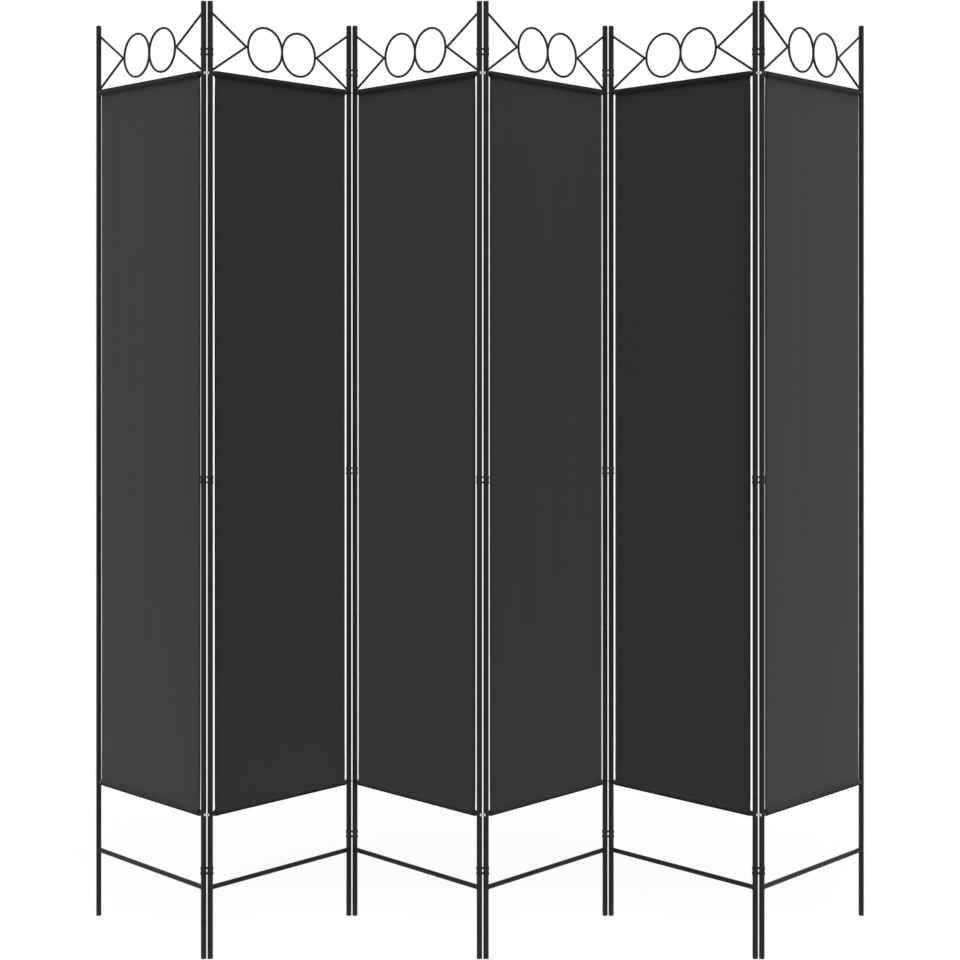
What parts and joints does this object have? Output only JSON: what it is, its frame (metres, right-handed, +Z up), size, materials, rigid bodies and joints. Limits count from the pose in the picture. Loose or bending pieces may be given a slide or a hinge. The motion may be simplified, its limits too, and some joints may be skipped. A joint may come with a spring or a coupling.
{
  "type": "folding screen",
  "caption": "Free-standing folding room divider: fabric panels in steel tube frames with a ring and V crest, joined by hinge clips so that it folds flat.",
  "frame": {"origin": "on the floor under the middle of the screen as it stands in its zigzag", "axes": "+Z up, X along the row of panels, the pictured side faces -Y"},
  "size_m": [1.7282, 0.2874, 2],
  "materials": {
    "powder_coat": "satin anthracite powder coat",
    "fabric": "plain-woven polyester, anthracite",
    "zinc_screws": "zinc plated",
    "black_plastic": "moulded",
    "clip_plastic": "moulded, tough nylon"
  },
  "bodies": {
    "panel_1": {"panel_1_left_post": "powder_coat", "panel_1_right_post": "powder_coat", "panel_1_top_rail": "powder_coat", "panel_1_bottom_rail": "powder_coat", "panel_1_foot_rail": "powder_coat", "panel_1_crest": "powder_coat", "panel_1_fabric": "fabric", "panel_1_rail_screws": "zinc_screws", "panel_1_end_caps": "black_plastic"},
    "panel_2": {"panel_2_left_post": "powder_coat", "panel_2_right_post": "powder_coat", "panel_2_top_rail": "powder_coat", "panel_2_bottom_rail": "powder_coat", "panel_2_foot_rail": "powder_coat", "panel_2_crest": "powder_coat", "panel_2_fabric": "fabric", "panel_2_rail_screws": "zinc_screws", "panel_2_end_caps": "black_plastic"},
    "panel_3": {"panel_3_left_post": "powder_coat", "panel_3_right_post": "powder_coat", "panel_3_top_rail": "powder_coat", "panel_3_bottom_rail": "powder_coat", "panel_3_foot_rail": "powder_coat", "panel_3_crest": "powder_coat", "panel_3_fabric": "fabric", "panel_3_rail_screws": "zinc_screws", "panel_3_end_caps": "black_plastic"},
    "panel_4": {"panel_4_left_post": "powder_coat", "panel_4_right_post": "powder_coat", "panel_4_top_rail": "powder_coat", "panel_4_bottom_rail": "powder_coat", "panel_4_foot_rail": "powder_coat", "panel_4_crest": "powder_coat", "panel_4_fabric": "fabric", "panel_4_rail_screws": "zinc_screws", "panel_4_end_caps": "black_plastic"},
    "panel_5": {"panel_5_left_post": "powder_coat", "panel_5_right_post": "powder_coat", "panel_5_top_rail": "powder_coat", "panel_5_bottom_rail": "powder_coat", "panel_5_foot_rail": "powder_coat", "panel_5_crest": "powder_coat", "panel_5_fabric": "fabric", "panel_5_rail_screws": "zinc_screws", "panel_5_end_caps": "black_plastic"},
    "panel_6": {"panel_6_left_post": "powder_coat", "panel_6_right_post": "powder_coat", "panel_6_top_rail": "powder_coat", "panel_6_bottom_rail": "powder_coat", "panel_6_foot_rail": "powder_coat", "panel_6_crest": "powder_coat", "panel_6_fabric": "fabric", "panel_6_rail_screws": "zinc_screws", "panel_6_end_caps": "black_plastic"},
    "clips_1": {"hinge_clips_1": "clip_plastic"},
    "clips_2": {"hinge_clips_2": "clip_plastic"},
    "clips_3": {"hinge_clips_3": "clip_plastic"},
    "clips_4": {"hinge_clips_4": "clip_plastic"},
    "clips_5": {"hinge_clips_5": "clip_plastic"}
  },
  "joints": [
    {"name": "fold_1_panel_2_pivot", "type": "hinge", "parent": "panel_2", "child": "clips_1", "pos_m": [-0.56941, -0.13718, 0], "axis": [0, 0, 1], "range_deg": [-45, 75]},
    {"name": "fold_1_panel_1_pivot", "type": "hinge", "parent": "clips_1", "child": "panel_1", "pos_m": [-0.58321, -0.13718, 0], "axis": [0, 0, 1], "range_deg": [-45, 75]},
    {"name": "fold_2_panel_3_pivot", "type": "hinge", "parent": "panel_3", "child": "clips_2", "pos_m": [-0.28126, 0.13718, 0], "axis": [0, 0, -1], "range_deg": [-45, 75]},
    {"name": "fold_2_panel_2_pivot", "type": "hinge", "parent": "clips_2", "child": "panel_2", "pos_m": [-0.29506, 0.13718, 0], "axis": [0, 0, -1], "range_deg": [-45, 75]},
    {"name": "fold_3_panel_3_pivot", "type": "hinge", "parent": "panel_3", "child": "clips_3", "pos_m": [-0.0069, -0.13718, 0], "axis": [0, 0, -1], "range_deg": [-45, 75]},
    {"name": "fold_3_panel_4_pivot", "type": "hinge", "parent": "clips_3", "child": "panel_4", "pos_m": [0.0069, -0.13718, 0], "axis": [0, 0, -1], "range_deg": [-45, 75]},
    {"name": "fold_4_panel_4_pivot", "type": "hinge", "parent": "panel_4", "child": "clips_4", "pos_m": [0.28126, 0.13718, 0], "axis": [0, 0, 1], "range_deg": [-45, 75]},
    {"name": "fold_4_panel_5_pivot", "type": "hinge", "parent": "clips_4", "child": "panel_5", "pos_m": [0.29506, 0.13718, 0], "axis": [0, 0, 1], "range_deg": [-45, 75]},
    {"name": "fold_5_panel_5_pivot", "type": "hinge", "parent": "panel_5", "child": "clips_5", "pos_m": [0.56941, -0.13718, 0], "axis": [0, 0, -1], "range_deg": [-45, 75]},
    {"name": "fold_5_panel_6_pivot", "type": "hinge", "parent": "clips_5", "child": "panel_6", "pos_m": [0.58321, -0.13718, 0], "axis": [0, 0, -1], "range_deg": [-45, 75]}
  ]
}
